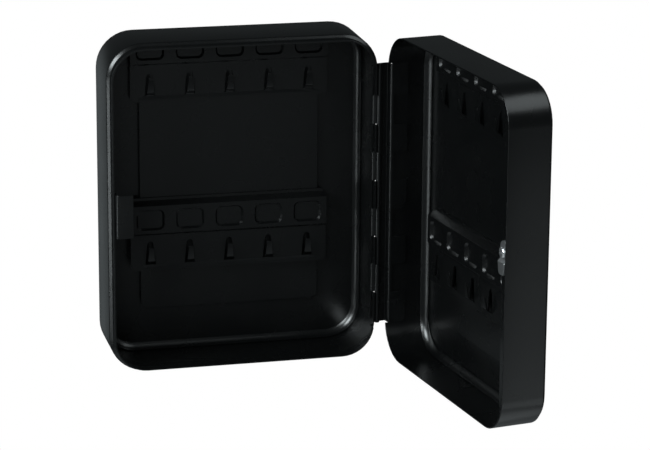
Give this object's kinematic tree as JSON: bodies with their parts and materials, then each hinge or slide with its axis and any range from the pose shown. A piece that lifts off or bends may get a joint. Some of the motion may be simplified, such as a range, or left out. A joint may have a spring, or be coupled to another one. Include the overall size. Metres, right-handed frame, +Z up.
{
  "type": "key cabinet",
  "caption": "Small wall key cabinet in pressed sheet steel: rounded case and shallow door on a continuous hinge, each with lanced hook rails, closed by a cam lock.",
  "frame": {"origin": "middle of the case's back face, which lies on the wall", "axes": "+X to the viewer's right, towards the hinge; +Y into the wall; +Z up. The rest pose has the door open 99 degrees, as pictured"},
  "size_m": [0.2225, 0.1984, 0.2],
  "materials": {
    "black_coat": "black powder coat, satin with a fine grain",
    "hinge_coat": "black powder coat, satin",
    "pin_steel": "drawn steel wire",
    "zinc_plate": "bright zinc plate, satin"
  },
  "bodies": {
    "case": {"case_shell": "black_coat", "case_hinge_leaf": "hinge_coat", "hinge_pin": "pin_steel", "case_panel": "black_coat", "case_upper_rail": "black_coat", "case_lower_rail": "black_coat", "case_spacer_1": "black_coat", "case_spacer_2": "black_coat", "case_spacer_3": "black_coat", "case_spacer_4": "black_coat", "strike_bracket": "black_coat"},
    "door": {"door_shell": "black_coat", "door_hinge_leaf": "hinge_coat", "door_panel": "black_coat", "door_upper_rail": "black_coat", "door_lower_rail": "black_coat", "door_spacer_1": "black_coat", "door_spacer_2": "black_coat", "door_spacer_3": "black_coat", "door_spacer_4": "black_coat", "lock_stiffener": "black_coat", "lock_body": "zinc_plate", "lock_nut": "zinc_plate"},
    "lock": {"lock_plug": "zinc_plate", "lock_cam": "zinc_plate", "cam_screw": "zinc_plate"}
  },
  "joints": [
    {"name": "door_hinge", "type": "hinge", "parent": "case", "child": "door", "pos_m": [0.08325, -0.0366, 0], "axis": [0, 0, 1], "range_deg": [-99, 81]},
    {"name": "lock_turn", "type": "hinge", "parent": "door", "child": "lock", "pos_m": [0.11039, -0.17921, 0.003], "axis": [-0.9877, -0.1564, 0], "range_deg": [0, 90]}
  ]
}
